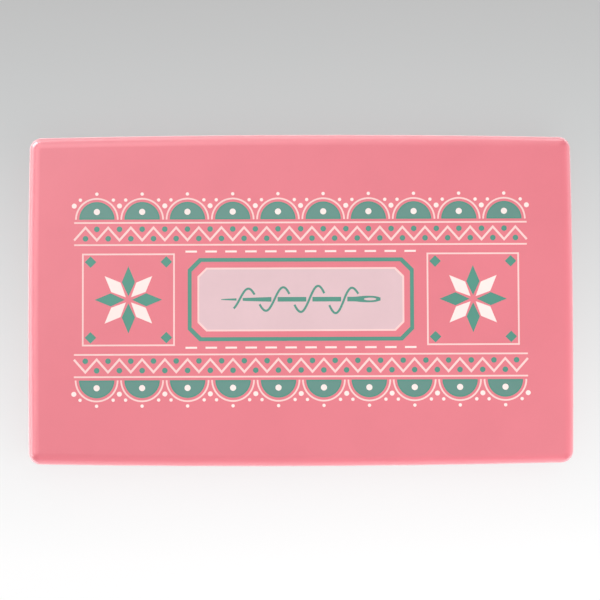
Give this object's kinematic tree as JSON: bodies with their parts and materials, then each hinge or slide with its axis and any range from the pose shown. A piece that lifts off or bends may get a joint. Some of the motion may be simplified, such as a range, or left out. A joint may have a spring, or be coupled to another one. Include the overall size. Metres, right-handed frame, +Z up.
{
  "type": "needle holder",
  "caption": "Slim rectangular hinged case for sewing needles, with a bowed outline, a magnetic sheet in its base, a needle pad in its lid and a printed ornament on top.",
  "frame": {"origin": "middle of the closed case's underside, on the surface that it lies on", "axes": "+X along the case's length to its right end, +Y from the opening edge to the hinge, +Z up through the printed lid"},
  "size_m": [0.11, 0.067, 0.013],
  "materials": {
    "shell_pink": "moulded pink plastic, satin gloss",
    "pin_steel": "bright drawn wire",
    "tape_white": "matt double-sided tape",
    "magnet_rubber": "dark brown magnetic rubber",
    "liner_blush": "smooth pale pink film",
    "pad_cotton": "cream plain-weave cotton over soft wadding",
    "thread_green": "two-ply grey-green sewing thread",
    "print_green": "grey-green printed ink",
    "print_cream": "cream printed ink",
    "print_blush": "pale pink printed ink"
  },
  "bodies": {
    "base": {"base_shell": "shell_pink", "hinge_pin_left": "pin_steel", "hinge_pin_right": "pin_steel", "magnet_tape": "tape_white", "magnet_sheet": "magnet_rubber", "magnet_liner": "liner_blush"},
    "lid": {"lid_shell": "shell_pink", "pad_tape": "tape_white", "needle_pad": "pad_cotton"}
  },
  "joints": [
    {"name": "lid_hinge", "type": "hinge", "parent": "base", "child": "lid", "pos_m": [0, 0.03075, 0.0065], "axis": [-1, 0, 0], "range_deg": [0, 100]}
  ]
}
